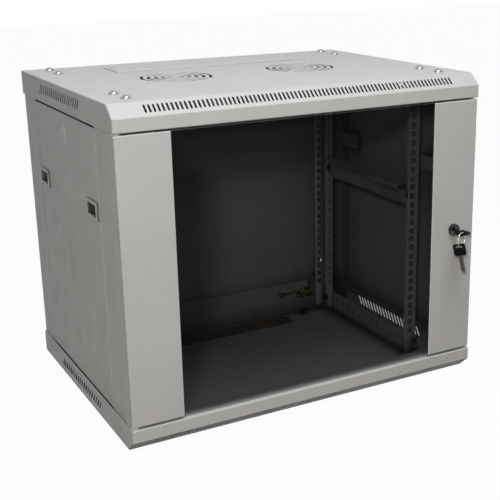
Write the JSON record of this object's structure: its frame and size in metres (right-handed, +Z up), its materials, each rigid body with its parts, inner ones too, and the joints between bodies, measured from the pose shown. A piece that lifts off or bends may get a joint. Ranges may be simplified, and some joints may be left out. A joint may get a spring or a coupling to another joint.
{
  "type": "wall mount network cabinet",
  "caption": "Light grey steel wall cabinet for 19-inch network equipment, with a glass door, cam lock and keys, lift-off side panels and vented base and roof.",
  "frame": {"origin": "under the middle of the base, half way between the covers' front and rear faces", "axes": "+X to the right seen from the front, +Y to the back, +Z up"},
  "size_m": [0.6012, 0.4886, 0.505],
  "materials": {
    "cabinet_paint": "light grey powder coat, fine texture",
    "zinc_steel": "bright zinc plate",
    "black_steel": "black finish on steel",
    "chrome": "polished plate",
    "key_steel": "nickel plate",
    "black_plastic": "moulded, matt",
    "white_plastic": "moulded, matt",
    "grey_plastic": "moulded, matched to the paint",
    "tinted_glass": "dark tempered glass, ground edge",
    "foam_tape": "black foam tape",
    "earth_wire": "green and yellow sleeve"
  },
  "bodies": {
    "cabinet": {"base_cover": "cabinet_paint", "roof_cover": "cabinet_paint", "roof_cable_plate": "cabinet_paint", "cable_plate_screws": "zinc_steel", "cover_screws": "zinc_steel", "frame_nuts": "zinc_steel", "front_post_right": "cabinet_paint", "front_post_left": "cabinet_paint", "rear_post_right": "cabinet_paint", "rear_post_left": "cabinet_paint", "rear_panel": "cabinet_paint", "rear_cross_rails": "cabinet_paint", "rear_panel_screws": "zinc_steel", "floor_cross_bar": "cabinet_paint", "front_rail_right": "cabinet_paint", "front_rail_left": "cabinet_paint", "rear_rail_right": "cabinet_paint", "rear_rail_left": "cabinet_paint", "bottom_bar_right": "cabinet_paint", "bottom_bar_left": "cabinet_paint", "top_bar_right": "cabinet_paint", "top_bar_left": "cabinet_paint", "mid_bar_right": "cabinet_paint", "mid_bar_left": "cabinet_paint", "rail_screws": "black_steel", "hinge_pins": "zinc_steel", "hinge_washers": "white_plastic", "cable_clip": "black_plastic", "earth_stud": "zinc_steel", "earth_nut": "zinc_steel", "earth_lug": "zinc_steel", "earth_lead": "earth_wire", "earth_hank": "earth_wire", "hank_tie": "black_plastic"},
    "door": {"door_stile_left": "cabinet_paint", "door_stile_right": "cabinet_paint", "door_glass": "tinted_glass", "glass_tapes": "foam_tape", "glass_clamps": "cabinet_paint", "clamp_nuts": "zinc_steel", "lock_barrel": "chrome", "lock_nut": "zinc_steel"},
    "lock_turning": {"lock_plug": "chrome", "lock_cam": "zinc_steel", "cam_screw": "zinc_steel"},
    "key": {"key_blade": "key_steel", "key_head": "black_plastic"},
    "ring": {"key_ring": "chrome"},
    "spare_key": {"spare_key_head": "black_plastic", "spare_key_blade": "key_steel"},
    "panel_right": {"side_panel_right": "cabinet_paint", "plug_right": "grey_plastic", "latch_cups_right": "grey_plastic"},
    "panel_left": {"side_panel_left": "cabinet_paint", "plug_left": "grey_plastic", "latch_cups_left": "grey_plastic"},
    "bolt_right_front": {"latch_bolt_right_front": "grey_plastic"},
    "bolt_right_rear": {"latch_bolt_right_rear": "grey_plastic"},
    "bolt_left_front": {"latch_bolt_left_front": "grey_plastic"},
    "bolt_left_rear": {"latch_bolt_left_rear": "grey_plastic"}
  },
  "joints": [
    {"name": "door_hinge", "type": "hinge", "parent": "cabinet", "child": "door", "pos_m": [-0.293, -0.216, 0.25], "axis": [0, 0, -1], "range_deg": [0, 115]},
    {"name": "lock_turn", "type": "hinge", "parent": "door", "child": "lock_turning", "pos_m": [0.259, -0.215, 0.252], "axis": [0, -1, 0], "range_deg": [0, 90]},
    {"name": "key_pull", "type": "slide", "parent": "lock_turning", "child": "key", "axis": [0, -1, 0], "range_m": [0, 0.03]},
    {"name": "ring_tilt", "type": "hinge", "parent": "key", "child": "ring", "pos_m": [0.2515, -0.25615, 0.252], "axis": [0.9397, 0.342, 0], "range_deg": [-8, 8]},
    {"name": "spare_swing", "type": "hinge", "parent": "ring", "child": "spare_key", "pos_m": [0.2515, -0.25615, 0.23345], "axis": [0.9397, 0.342, 0], "range_deg": [-24, 24]},
    {"name": "panel_right_off", "type": "slide", "parent": "cabinet", "child": "panel_right", "axis": [1, 0, 0], "range_m": [0, 0.06]},
    {"name": "panel_left_off", "type": "slide", "parent": "cabinet", "child": "panel_left", "axis": [-1, 0, 0], "range_m": [0, 0.06]},
    {"name": "bolt_right_front_slide", "type": "slide", "parent": "panel_right", "child": "bolt_right_front", "axis": [0, -1, 0], "range_m": [0, 0.007]},
    {"name": "bolt_right_rear_slide", "type": "slide", "parent": "panel_right", "child": "bolt_right_rear", "axis": [0, 1, 0], "range_m": [0, 0.007]},
    {"name": "bolt_left_front_slide", "type": "slide", "parent": "panel_left", "child": "bolt_left_front", "axis": [0, -1, 0], "range_m": [0, 0.007]},
    {"name": "bolt_left_rear_slide", "type": "slide", "parent": "panel_left", "child": "bolt_left_rear", "axis": [0, 1, 0], "range_m": [0, 0.007]}
  ]
}
